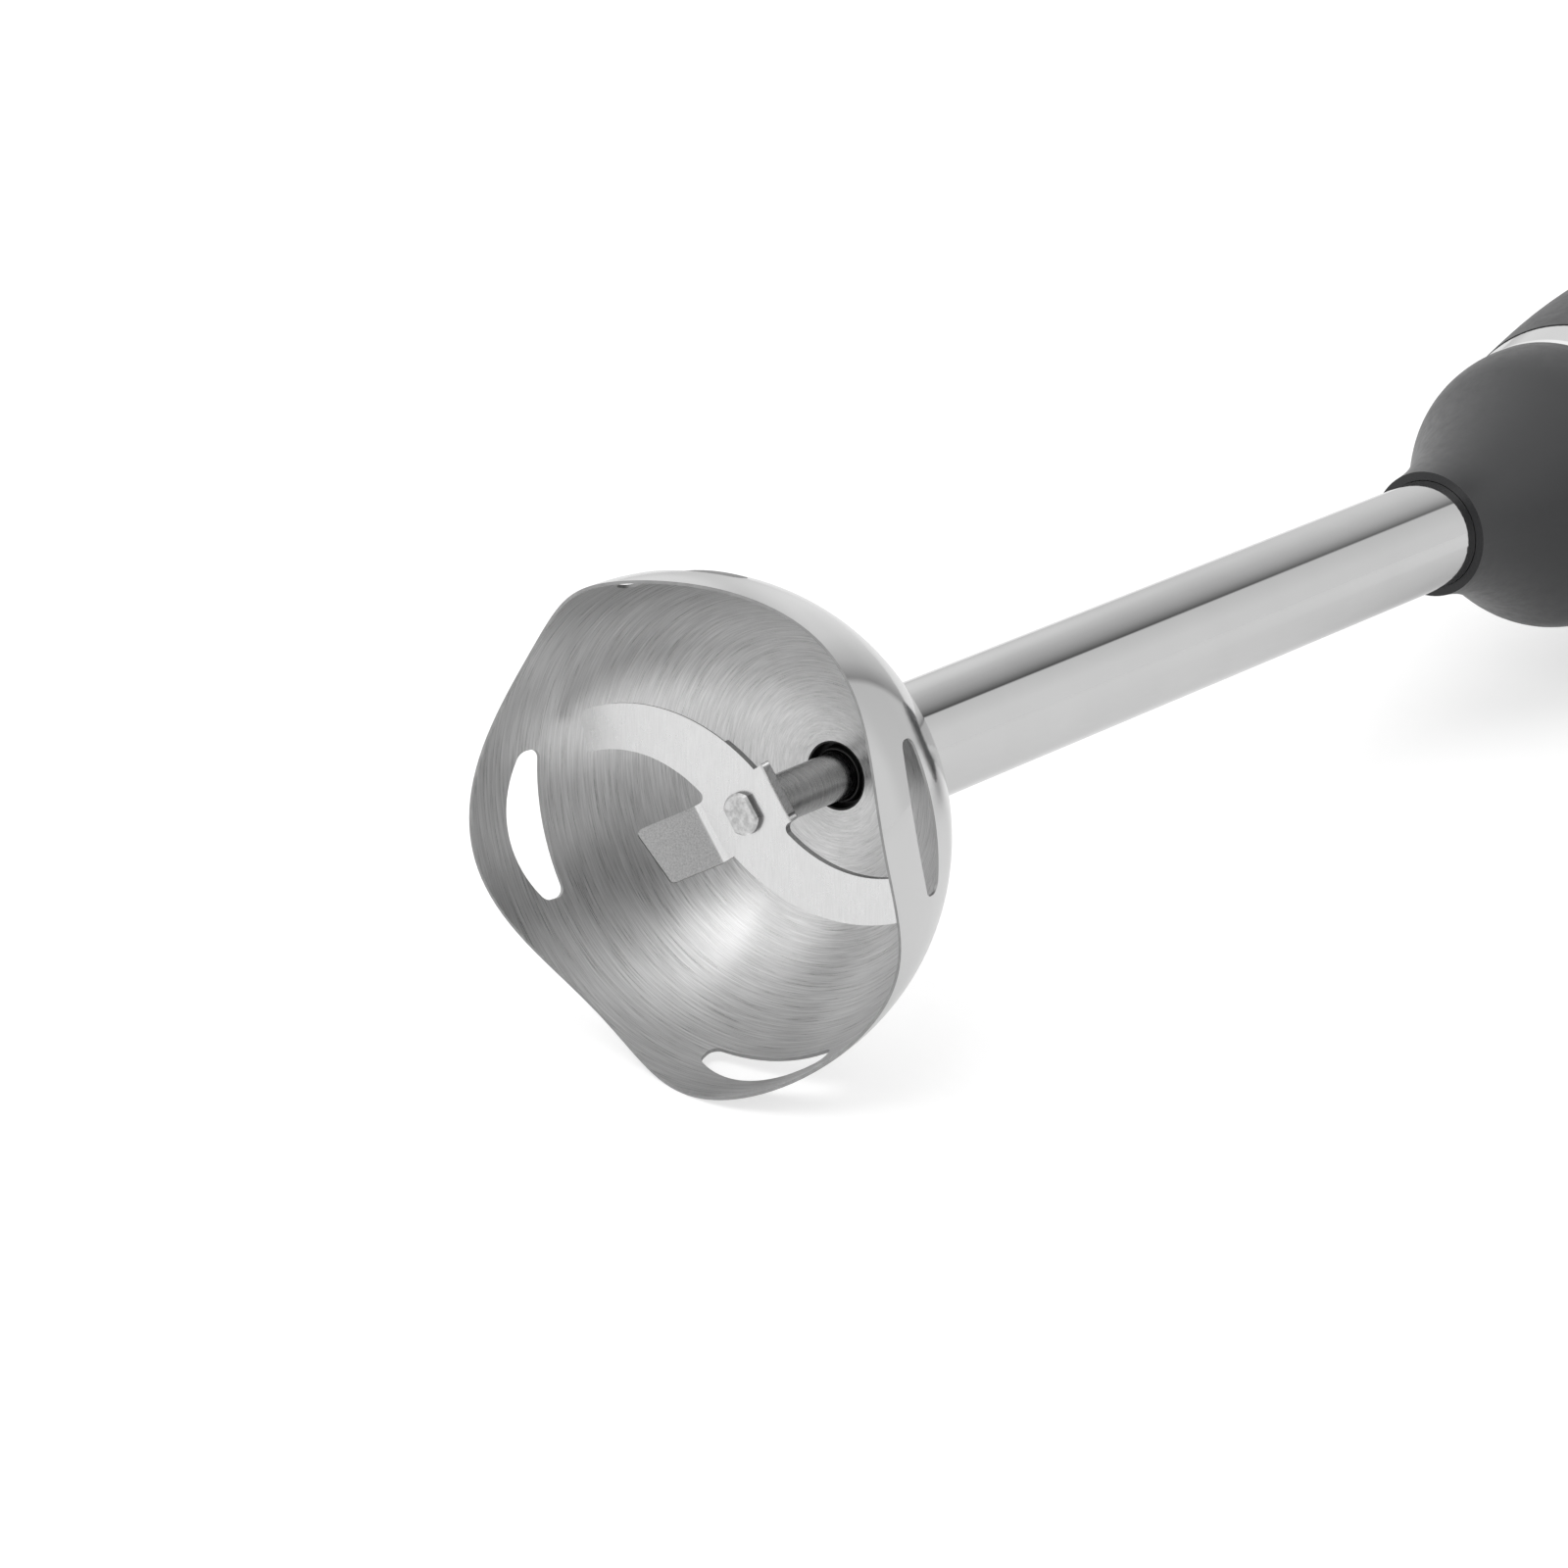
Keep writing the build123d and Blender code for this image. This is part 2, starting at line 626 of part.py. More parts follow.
def field_coils():
    """Two saddle coils, one around each pole."""
    coils = []
    for direction in (90, 270):
        span = wedge(30, POLE_HALF_ANGLE + 4, direction)
        sides = prism((Circle(18.2) - Circle(16.0)) & span, 260.0, 294.0)
        ends = (Circle(19.0) - Circle(15.0)) & span
        turns = prism(ends, 259.0, 263.6) + prism(ends, 290.4, 295.0)
        neck = block((-6.4, 6.4), (STACK_START - 0.4, STACK_END + 0.4), (-25, 25))
        coils.append(sides + turns - neck)
    return Compound(children=coils)


def armature_slots(width, low, high):
    slots = Sketch()
    for i in range(12):
        slots += Rot(0, 0, i * 30) * Pos((low + high) / 2, 0) * Rectangle(high - low, width)
    return slots


def armature_core():
    lamination = Circle(ARMATURE_R) - Circle(MOTOR_SHAFT_R)
    return prism(lamination - armature_slots(2.6, 7.0, 14.0), STACK_START, STACK_END)


def armature_winding():
    """Coils in the armature's slots, with a rounded head of end turns on each side."""
    slots = prism(armature_slots(2.4, 7.2, 12.2), STACK_START - 1, STACK_END + 1)
    rear = turned([
        (4.4, 290.2), (11.8, 290.2), (12.2, 291.5), (11.2, 294.2), (8.2, 295.6), (4.4, 295.6),
    ])
    front = turned([
        (4.4, 263.8), (11.8, 263.8), (12.2, 262.5), (11.2, 259.8), (8.2, 258.4), (4.4, 258.4),
    ])
    return slots + rear + front


def commutator():
    body = ring(COMMUTATOR_R, MOTOR_SHAFT_R, 297.6, 308.4)
    gaps = Sketch()
    for i in range(24):
        gaps += Rot(0, 0, i * 15) * Pos(COMMUTATOR_R, 0) * Rectangle(1.6, 0.4)
    return body - prism(gaps, 298.6, 309.0)


def motor_shaft():
    shaft = ring(MOTOR_SHAFT_R, 0, 217.0, 318.0)
    ends = shaft.faces().sort_by(Axis.Y)
    return chamfer([ends[0].edges()[0], ends[-1].edges()[0]], 0.5)


def cooling_fan():
    """Radial fan with curved vanes on a back plate."""
    plate = ring(20.3, MOTOR_SHAFT_R, 248.0, 249.2)
    hub = ring(5.5, MOTOR_SHAFT_R, 248.0, 256.5)
    vane = (Pos(6, 12) * Circle(14.6) - Pos(6, 12) * Circle(13.4)) & (Circle(20.3) - Circle(7)) & (
        Pos(11, -8) * Rectangle(26, 20)
    )
    vanes = Sketch()
    for i in range(11):
        vanes += Rot(0, 0, i * 360 / 11) * vane
    return plate + hub + prism(vanes, 249.0, 255.5)


def drive_dog():
    plug = prism(cross_section(0), 215.4, 224.2)
    plug = chamfer(plug.faces().sort_by(Axis.Y)[0].edges(), 0.5)
    dog = plug + ring(9.6, 0, 224.2, 226.2) + ring(5.2, 0, 226.2, 231.8)
    return dog - ring(MOTOR_SHAFT_R, 0, 217.0, 232.0)


def brush_holders():
    tube = block((10.2, 22.0), (BRUSH_Y - 3.2, BRUSH_Y + 3.2), (-3.2, 3.2))
    tube -= block((10.0, 21.2), (BRUSH_Y - 2.55, BRUSH_Y + 2.55), (-2.55, 2.55))
    return Compound(children=[tube, mirror(tube, Plane.YZ)])


def carbon_brushes():
    brush = block((8.55, 16.4), (BRUSH_Y - BRUSH_HALF, BRUSH_Y + BRUSH_HALF), (-BRUSH_HALF, BRUSH_HALF))
    return Compound(children=[brush, mirror(brush, Plane.YZ)])


def brush_springs():
    spring = Pos(16.5, BRUSH_Y, 0) * Rot(0, 90, 0) * coil(1.8, 0.25, 4.6, 5)
    return Compound(children=[spring, mirror(spring, Plane.YZ)])


# ---- motor unit: controls ----
def circuit_board():
    board = standing(Pos(0, 350) * Rectangle(26.4, 58), BOARD_Z, BOARD_Z + BOARD_T)
    chip = block((-11, -5), (326, 334), (BOARD_Z + BOARD_T, BOARD_Z + BOARD_T + 2.0))
    choke = standing(Pos(8, 331) * Circle(3.2), BOARD_Z + BOARD_T, BOARD_Z + BOARD_T + 7)
    return board + chip + choke


def microswitch(y):
    low = BOARD_Z + BOARD_T
    body = block((-3.2, 3.2), (y - 6.4, y + 6.4), (low, low + SWITCH_H))
    return body + standing(Pos(0, y) * Circle(1.2), low + SWITCH_H, low + SWITCH_H + 1.2)


def press_button(y):
    """Button with a retaining flange under the shell and a stem over its switch."""
    wide, high = handle_at(y)
    crown_r = wide ** 2 / high
    crown = ring(crown_r, 0, y - 20, y + 20)
    cap = Pos(0, 0, high + 1.5 - crown_r) * crown & standing(button_outline(y), BUTTON_UNDERSIDE, 40)
    cap = fillet(cap.faces().sort_by(Axis.Z)[-1].edges(), 0.7)
    flange = standing(button_outline(y, 1.3), BUTTON_UNDERSIDE, BUTTON_UNDERSIDE + 1.4)
    stem_low = BOARD_Z + BOARD_T + SWITCH_H + 1.2 + 2.3
    stem = standing(Pos(0, y) * Circle(2.2), stem_low, BUTTON_UNDERSIDE)
    return cap + flange + stem


def button_spring(y):
    low = BOARD_Z + BOARD_T + SWITCH_H
    length = BUTTON_UNDERSIDE - low - 0.1
    return Pos(0, y, low + 0.05) * coil(3.7, 0.3, length, 5)


def release_button(side):
    """Button with a yoke around the socket, whose catch is on the far side.

    side is -1 for the left button and 1 for the right one."""
    start = RELEASE_Y - 2.4 if side < 0 else RELEASE_Y + 0.4
    end = start + 2.0
    outer = RELEASE_YOKE_R + RELEASE_YOKE_T
    yoke = prism(Pos(RELEASE_OFFSET, 0) * (Circle(outer) - Circle(RELEASE_YOKE_R)), start, end)
    stem = block((19.6, 22.2), (start, end), (-4, 4))
    catch = block((-16.4, -SPIGOT_R - 0.45), (start, end), (-3.4, 3.4))
    face = Plane(origin=(22.0, 0, 0), x_dir=(0, 1, 0), z_dir=(1, 0, 0))
    cap = extrude(face * release_outline(), amount=handle_at(RELEASE_Y)[0] + 1.3 - 22.0)
    cap = fillet(cap.faces().sort_by(Axis.X)[-1].edges(), 0.8)
    button = yoke + stem + catch + cap
    return mirror(button, Plane.YZ) if side < 0 else button


def release_spring(side):
    """Small spring between the far side of the yoke and the casing."""
    spring = Pos(-18.85, RELEASE_Y + 1.4 * side, 8 * side) * Rot(0, 90, 0) * coil(1.3, 0.2, 1.8, 2)
    return mirror(spring, Plane.YZ) if side < 0 else spring


def speed_control():
    body = prism(Pos(0, DIAL_Z) * Rectangle(16, 16), 385.0, 393.0)
    bush = prism(Pos(0, DIAL_Z) * Circle(4.5), 393.0, 403.0)
    bore = prism(Pos(0, DIAL_Z) * Circle(MOTOR_SHAFT_R + BUSH_GAP), 384.0, 404.0)
    return body + bush - bore


def speed_dial():
    """Knob with a grooved rim, a pointer groove and its spindle."""
    knob = ring(DIAL_R, 0, CAP_END + 0.4, DIAL_END)
    knob = fillet(knob.faces().sort_by(Axis.Y)[-1].edges(), 1.2)
    grips = Sketch()
    for i in range(30):
        grips += Rot(0, 0, i * 12) * Pos(DIAL_R + 0.35, 0) * Circle(0.8)
    knob -= prism(grips, CAP_END + 2.0, DIAL_END + 1)
    knob -= block((-0.7, 0.7), (DIAL_END - 0.6, DIAL_END + 1), (4, DIAL_R + 2))
    spindle = ring(MOTOR_SHAFT_R, 0, 386.0, CAP_END + 1)
    return Pos(0, 0, DIAL_Z) * (knob + spindle)


def pieces():
    """Every separate piece, by its node's name."""
    return {
        "bell_guard": bell_guard(),
        "shaft_tube": shaft_tube(),
        "shaft_seal": shaft_seal(),
        "seal_carrier": seal_carrier(),
        "lower_bush": lower_bush(),
        "thrust_washer": thrust_washer(),
        "upper_bush_carrier": upper_bush_carrier(),
        "upper_bush": upper_bush(),
        "foot_collar": foot_collar(),
        "collar_oring": collar_oring(),
        "collar_sleeve": collar_sleeve(),
        "blade": blade(),
        "drive_shaft": drive_shaft(),
        "shaft_clips": shaft_clips(),
        "driven_dog": driven_dog(),
        "front_shell": front_shell(),
        "back_shell": back_shell(),
        "nose_ring": nose_ring(),
        "socket": socket(),
        "end_cap": end_cap(),
        "cord_gland": cord_gland(),
        "control_panel": control_panel(),
        "grip_pad": grip_pad(),
        "rest_heel": rest_heel(),
        "housing_screws": housing_screws(),
        "front_bracket": front_bracket(),
        "rear_bracket": rear_bracket(),
        "front_damper": front_damper(),
        "rear_damper": rear_damper(),
        "front_bearing": front_bearing(),
        "rear_bearing": rear_bearing(),
        "stator_core": stator_core(),
        "field_coils": field_coils(),
        "armature_core": armature_core(),
        "armature_winding": armature_winding(),
        "commutator": commutator(),
        "motor_shaft": motor_shaft(),
        "cooling_fan": cooling_fan(),
        "drive_dog": drive_dog(),
        "brush_holders": brush_holders(),
        "carbon_brushes": carbon_brushes(),
        "brush_springs": brush_springs(),
        "circuit_board": circuit_board(),
        "on_switch": microswitch(ON_Y),
        "turbo_switch": microswitch(TURBO_Y),
        "on_button": press_button(ON_Y),
        "turbo_button": press_button(TURBO_Y),
        "on_spring": button_spring(ON_Y),
        "turbo_spring": button_spring(TURBO_Y),
        "release_left": release_button(-1),
        "release_right": release_button(1),
        "release_spring_left": release_spring(-1),
        "release_spring_right": release_spring(1),
        "speed_control": speed_control(),
        "speed_dial": speed_dial(),
    }


def main():
    os.makedirs("parts", exist_ok=True)
    for name, shape in pieces().items():
        export_step(TOOL_FRAME * shape, f"parts/{name}.step")


main()
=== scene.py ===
import bpy
from math import pi
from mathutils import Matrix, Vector


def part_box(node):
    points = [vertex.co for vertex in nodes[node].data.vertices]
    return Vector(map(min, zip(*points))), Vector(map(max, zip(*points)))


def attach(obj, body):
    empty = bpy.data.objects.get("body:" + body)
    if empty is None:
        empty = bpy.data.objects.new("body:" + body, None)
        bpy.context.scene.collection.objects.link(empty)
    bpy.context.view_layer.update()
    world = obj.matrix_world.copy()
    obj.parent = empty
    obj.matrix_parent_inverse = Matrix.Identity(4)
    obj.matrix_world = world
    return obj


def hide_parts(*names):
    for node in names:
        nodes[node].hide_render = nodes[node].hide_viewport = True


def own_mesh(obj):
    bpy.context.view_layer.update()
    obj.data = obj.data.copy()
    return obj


# Immersion blender lying on its back, seen from the bell's mouth. Metres throughout.
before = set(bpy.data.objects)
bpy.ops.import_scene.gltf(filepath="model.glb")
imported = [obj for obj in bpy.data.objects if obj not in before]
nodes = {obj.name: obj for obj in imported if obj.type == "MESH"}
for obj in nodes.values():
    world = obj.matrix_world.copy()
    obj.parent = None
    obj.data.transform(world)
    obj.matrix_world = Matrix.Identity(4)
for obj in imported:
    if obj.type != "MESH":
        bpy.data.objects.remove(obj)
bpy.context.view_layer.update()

MM = 0.001

# ---- places worked out from the frame ----
tube_low, tube_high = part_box("shaft_tube")
bell_low, bell_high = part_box("bell_guard")
BELL_R = (bell_high.x - bell_low.x) / 2
LOBE_REACH = 2.39 * MM                   # how far the rim's lobes reach past the sphere's centre
BELL_CENTRE = Vector((0, bell_low.y + LOBE_REACH, (tube_low.z + tube_high.z) / 2))
BLADE_FACE = (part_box("blade")[1].y - BELL_CENTRE.y) / MM   # height of the blade's flat face, in mm

# ---- sizes of marks, in mm ----
TAB_BEND = 2.2                           # how far below the blade's face a tab's bend ends
PEENED_START = 0.8                       # below the blade's face: the shaft's tip is bright from here

# ---- studio ----
FLOOR_REACH = 8.0
LENS = 137.19                            # in mm, on a 36 mm sensor
SENSOR = 36.0
CAMERA_OFFSET = Vector((0.43386, -0.55067, 0.23362))       # from the bell's centre
VIEW_DIRECTION = Vector((-0.57554, 0.75769, -0.30766))
KEY_PLACE = (0.15, -1.0, 1.3)
KEY_SIZE = 0.8
KEY_POWER = 4.2
ACROSS_THE_GAP = (0.838, 0.128, -0.532)  # direction at right angles to the dark gap's edge
CAMERA_SIDE = (0.60, -0.61, 0.52)        # middle of the dark side beside the camera


# ---- node helpers ----
def add(tree, kind, inputs=None, **settings):
    """Adds a node. Each input gets a link if it is given a socket, and a value otherwise."""
    made = tree.nodes.new(kind)
    for name, value in settings.items():
        setattr(made, name, value)
    for name, value in (inputs or {}).items():
        if isinstance(value, bpy.types.NodeSocket):
            tree.links.new(value, made.inputs[name])
        else:
            made.inputs[name].default_value = value
    return made


def math(tree, operation, first, second=0.0):
    return add(tree, "ShaderNodeMath", {0: first, 1: second}, operation=operation).outputs[0]


def vector_math(tree, operation, first, second=(0, 0, 0)):
    made = add(tree, "ShaderNodeVectorMath", {0: first, 1: second}, operation=operation)
    return made.outputs["Value" if operation in ("LENGTH", "DOT_PRODUCT") else "Vector"]


def remap(tree, value, from_range, to_range, smooth=False):
    made = add(tree, "ShaderNodeMapRange", {
        "Value": value, "From Min": from_range[0], "From Max": from_range[1],
        "To Min": to_range[0], "To Max": to_range[1],
    }, interpolation_type="SMOOTHSTEP" if smooth else "LINEAR")
    return made.outputs["Result"]


def mix(tree, factor, first, second):
    """Mixes two numbers or sockets."""
    return add(tree, "ShaderNodeMix", {0: factor, 2: first, 3: second}, data_type="FLOAT").outputs[0]


def mix_colour(tree, factor, first, second):
    made = add(tree, "ShaderNodeMix", {0: factor, 6: first, 7: second}, data_type="RGBA")
    return made.outputs[2]


def noise(tree, vector, scale, detail=2.0, roughness=0.5):
    made = add(tree, "ShaderNodeTexNoise", {
        "Vector": vector, "Scale": scale, "Detail": detail, "Roughness": roughness,
    })
    return made.outputs["Fac"]


def bump(tree, height, depth, strength):
    """Turns a height from 0 to 1 into a normal; depth is the relief in metres."""
    inputs = {"Height": height, "Distance": depth, "Strength": strength}
    return add(tree, "ShaderNodeBump", inputs).outputs["Normal"]


def grey(level):
    return (level, level, level, 1)


def tool_point(tree):
    """Position on the object in millimetres from the centre of the bell's sphere."""
    place = add(tree, "ShaderNodeTexCoord").outputs["Object"]
    moved = vector_math(tree, "SUBTRACT", place, BELL_CENTRE)
    made = add(tree, "ShaderNodeVectorMath", {0: moved, "Scale": 1 / MM}, operation="SCALE")
    return made.outputs["Vector"]


def turned_lines(tree, point, along, spacing, length):
    """Fine lines round the tool axis, as spinning and brushing leave them.

    along is the distance across the lines in mm, spacing their width and length their
    length as a share of a turn."""
    parts = add(tree, "ShaderNodeSeparateXYZ", {0: point}).outputs
    flat = add(tree, "ShaderNodeCombineXYZ", {"X": parts["X"], "Z": parts["Z"]}).outputs[0]
    round_axis = vector_math(tree, "NORMALIZE", flat)
    shift = add(tree, "ShaderNodeCombineXYZ", {"Y": math(tree, "DIVIDE", along, spacing)}).outputs[0]
    made = add(tree, "ShaderNodeVectorMath", {0: round_axis, "Scale": 1 / (2 * pi * length)},
               operation="SCALE")
    return vector_math(tree, "ADD", made.outputs["Vector"], shift)


def material(name):
    made = bpy.data.materials.new(name)
    made.use_nodes = True
    return made, made.node_tree, made.node_tree.nodes["Principled BSDF"]


def set_shader(tree, shader, **values):
    """Sets sockets by name, with _ for a space: a socket is linked, a value is set."""
    for name, value in values.items():
        socket = shader.inputs[name.replace("_", " ")]
        if isinstance(value, bpy.types.NodeSocket):
            tree.links.new(value, socket)
        else:
            socket.default_value = value


# ---- materials of the blending foot ----
def bell_steel():
    """Polished outside, brushed in fine circles inside."""
    made, tree, shader = material("bell_steel")
    point = tool_point(tree)
    distance = vector_math(tree, "LENGTH", point)
    wall = BELL_R / MM
    outside = remap(tree, distance, (wall - 0.35, wall - 0.1), (0, 1), smooth=True)
    height = add(tree, "ShaderNodeSeparateXYZ", {0: point}).outputs["Y"]
    polar = math(tree, "ARCCOSINE", math(tree, "DIVIDE", height, distance))
    along = math(tree, "MULTIPLY", polar, wall)
    fine = noise(tree, turned_lines(tree, point, along, 0.09, 0.03), 1.0, 3.0, 0.7)
    coarse = noise(tree, turned_lines(tree, point, along, 0.30, 0.05), 1.0, 2.0, 0.5)
    broad = noise(tree, turned_lines(tree, point, along, 5.0, 0.25), 1.0, 1.0, 0.5)
    lines = math(tree, "ADD", math(tree, "MULTIPLY", fine, 0.6), math(tree, "MULTIPLY", coarse, 0.4))
    brushed = mix_colour(tree, remap(tree, lines, (0.34, 0.66), (0, 1)), grey(0.52), grey(0.86))
    polished = mix_colour(tree, broad, grey(0.62), grey(0.67))
    radial = vector_math(tree, "DOT_PRODUCT", vector_math(tree, "NORMALIZE", point),
                         add(tree, "ShaderNodeNewGeometry").outputs["True Normal"])
    cut_edge = remap(tree, math(tree, "ABSOLUTE", radial), (0.4, 0.6), (1, 0))
    cut = mix_colour(tree, coarse, grey(0.26), grey(0.40))
    inside_rough = remap(tree, lines, (0.3, 0.7), (0.24, 0.38))
    outside_rough = remap(tree, broad, (0.3, 0.7), (0.05, 0.11))
    inside_bump = bump(tree, lines, 0.03 * MM, 0.5)
    outside_bump = bump(tree, fine, 0.002 * MM, 0.2)
    set_shader(
        tree, shader,
        Base_Color=mix_colour(tree, cut_edge, mix_colour(tree, outside, brushed, polished), cut),
        Metallic=1.0,
        Roughness=mix(tree, cut_edge, mix(tree, outside, inside_rough, outside_rough), 0.3),
        Anisotropic=0.7,
        Anisotropic_Rotation=0.25,
        Tangent=add(tree, "ShaderNodeTangent", direction_type="RADIAL", axis="Y").outputs[0],
        Normal=add(tree, "ShaderNodeMix", {0: outside, 4: inside_bump, 5: outside_bump},
                   data_type="VECTOR").outputs[1],
    )
    return made


def polished_steel():
    """Tube and trim ring: ground round the axis and polished."""
    made, tree, shader = material("polished_steel")
    point = tool_point(tree)
    height = add(tree, "ShaderNodeSeparateXYZ", {0: point}).outputs["Y"]
    fine = noise(tree, turned_lines(tree, point, height, 0.2, 0.08), 1.0, 2.0, 0.6)
    broad = noise(tree, point, 0.08, 2.0)
    set_shader(
        tree, shader,
        Base_Color=mix_colour(tree, broad, grey(0.61), grey(0.67)),
        Metallic=1.0,
        Roughness=remap(tree, broad, (0.3, 0.7), (0.04, 0.08)),
        Anisotropic=0.4,
        Anisotropic_Rotation=0.25,
        Tangent=add(tree, "ShaderNodeTangent", direction_type="RADIAL", axis="Y").outputs[0],
        Normal=bump(tree, fine, 0.001 * MM, 0.2),
    )
    return made


def blade_steel():
    """Satin stamped steel: ground flat faces, grainy tabs and matt grey sheared edges, with a darker
    grey on the tab ends' faces that is painted shade.
    """
    made, tree, shader = material("blade_steel")
    point = tool_point(tree)
    facing = add(tree, "ShaderNodeNewGeometry").outputs["True Normal"]
    facing = math(tree, "ABSOLUTE", add(tree, "ShaderNodeSeparateXYZ", {0: facing}).outputs["Y"])
    ground = remap(tree, facing, (0.66, 0.80), (0, 1), smooth=True)
    height = add(tree, "ShaderNodeSeparateXYZ", {0: point}).outputs["Y"]
    past_bend = math(tree, "LESS_THAN", height, BLADE_FACE - TAB_BEND)
    # The tab ends' faces count as sheared, and below they get a darker grey than the other sheared
    # edges: painted shade.
    tab_end = math(tree, "MULTIPLY", remap(tree, facing, (0.68, 0.72), (0, 1)), past_bend)
    sheared = math(tree, "MAXIMUM", tab_end, remap(tree, facing, (0.30, 0.45), (1, 0), smooth=True))
    grain = noise(tree, point, 5.0, 4.0, 0.7)
    cloud = noise(tree, point, 0.35, 2.0)
    rolled = add(tree, "ShaderNodeVectorMath", {0: point, 1: (6.0, 2.0, 0.5)}, operation="MULTIPLY")
    rolling = noise(tree, rolled.outputs["Vector"], 1.0, 2.0)
    satin = math(tree, "ADD", math(tree, "MULTIPLY", grain, 0.4), math(tree, "MULTIPLY", rolling, 0.6))
    shade = mix(tree, ground, grain, satin)
    contrast = remap(tree, shade, (0.35, 0.65), (0, 1))
    face = mix_colour(tree, contrast, grey(0.74), grey(0.81))
    grainy = mix_colour(tree, contrast, grey(0.56), grey(0.82))
    # Sheared edges in a matt grey; the tab ends' faces in a darker grey, which is painted shade.
    sheared_and_shaded = mix_colour(tree, contrast, mix_colour(tree, tab_end, grey(0.26), grey(0.12)),
                      mix_colour(tree, tab_end, grey(0.40), grey(0.22)))
    set_shader(
        tree, shader,
        Base_Color=mix_colour(tree, sheared, mix_colour(tree, ground, grainy, face), sheared_and_shaded),
        Metallic=1.0,
        Roughness=mix(tree, ground, 0.34, remap(tree, cloud, (0.3, 0.7), (0.24, 0.32))),
        Normal=bump(tree, shade, mix(tree, ground, 0.05 * MM, 0.008 * MM), 0.4),
    )
    return made


def dark_steel():
    """Blackened drive shaft, turned bright and peened over at its tip."""
    made, tree, shader = material("dark_steel")
    point = tool_point(tree)
    height = add(tree, "ShaderNodeSeparateXYZ", {0: point}).outputs["Y"]
    peened = BLADE_FACE - PEENED_START
    tip = remap(tree, height, (peened, peened + 0.2), (1, 0))
    turning = noise(tree, turned_lines(tree, point, height, 0.12, 0.2), 1.0, 2.0, 0.6)
    dents = noise(tree, point, 1.3, 3.0, 0.6)
    shade = remap(tree, turning, (0.3, 0.7), (0, 1))
    black = mix_colour(tree, shade, grey(0.32), grey(0.46))
    bright = mix_colour(tree, remap(tree, dents, (0.35, 0.65), (0, 1)), grey(0.50), grey(0.74))
    facing = add(tree, "ShaderNodeNewGeometry").outputs["True Normal"]
    facing = math(tree, "ABSOLUTE", add(tree, "ShaderNodeSeparateXYZ", {0: facing}).outputs["Y"])
    bright = mix_colour(tree, remap(tree, facing, (0.3, 0.6), (0, 1)), grey(0.20), bright)
    set_shader(
        tree, shader,
        Base_Color=mix_colour(tree, tip, black, bright),
        Metallic=1.0,
        Roughness=mix(tree, tip, remap(tree, turning, (0.3, 0.7), (0.20, 0.30)), 0.42),
        Normal=bump(tree, mix(tree, tip, turning, dents), mix(tree, tip, 0.003 * MM, 0.12 * MM), 0.6),
    )
    return made


def rubber(name, level, grain, gloss):
    """Moulded rubber with a fine matt grain."""
    made, tree, shader = material(name)
    point = tool_point(tree)
    speck = noise(tree, point, grain, 3.0, 0.6)
    dust = noise(tree, point, 0.15, 3.0)
    set_shader(
        tree, shader,
        Base_Color=mix_colour(tree, dust, grey(level * 0.8), grey(level * 1.3)),
        Roughness=remap(tree, speck, (0.3, 0.7), (gloss - 0.06, gloss + 0.08)),
        Specular_IOR_Level=0.4,
        Normal=bump(tree, speck, 0.03 * MM, 0.5),
    )
    return made


# ---- materials of the motor unit ----
def moulded_plastic(name, colour, grain, relief, gloss):
    """Injection-moulded plastic: spark-eroded grain, faint flow marks and uneven shine from handling.
    """
    made, tree, shader = material(name)
    point = tool_point(tree)
    pits = noise(tree, point, grain, 2.0, 0.55)
    flow = noise(tree, point, 0.05, 3.0, 0.6)
    handling = noise(tree, point, 0.6, 4.0, 0.7)
    dark = tuple(0.85 * c for c in colour[:3]) + (1,)
    light = tuple(1.12 * c for c in colour[:3]) + (1,)
    shade = math(tree, "ADD", math(tree, "MULTIPLY", flow, 0.7), math(tree, "MULTIPLY", handling, 0.3))
    set_shader(
        tree, shader,
        Base_Color=mix_colour(tree, remap(tree, shade, (0.35, 0.65), (0, 1)), dark, light),
        Roughness=remap(tree, handling, (0.3, 0.7), (gloss - 0.05, gloss + 0.06)),
        Normal=bump(tree, pits, relief * MM, 0.6),
    )
    return made


def metal(name, colour, rough, grain, relief):
    """Plain machined or drawn metal for the inner pieces."""
    made, tree, shader = material(name)
    point = tool_point(tree)
    height = add(tree, "ShaderNodeSeparateXYZ", {0: point}).outputs["Y"]
    lines = noise(tree, turned_lines(tree, point, height, grain, 0.1), 1.0, 2.0, 0.6)
    tarnish = noise(tree, point, 0.4, 3.0)
    dark = tuple(0.8 * c for c in colour[:3]) + (1,)
    set_shader(
        tree, shader,
        Base_Color=mix_colour(tree, tarnish, dark, colour),
        Metallic=1.0,
        Roughness=remap(tree, lines, (0.3, 0.7), (rough - 0.06, rough + 0.08)),
        Normal=bump(tree, lines, relief * MM, 0.5),
    )
    return made


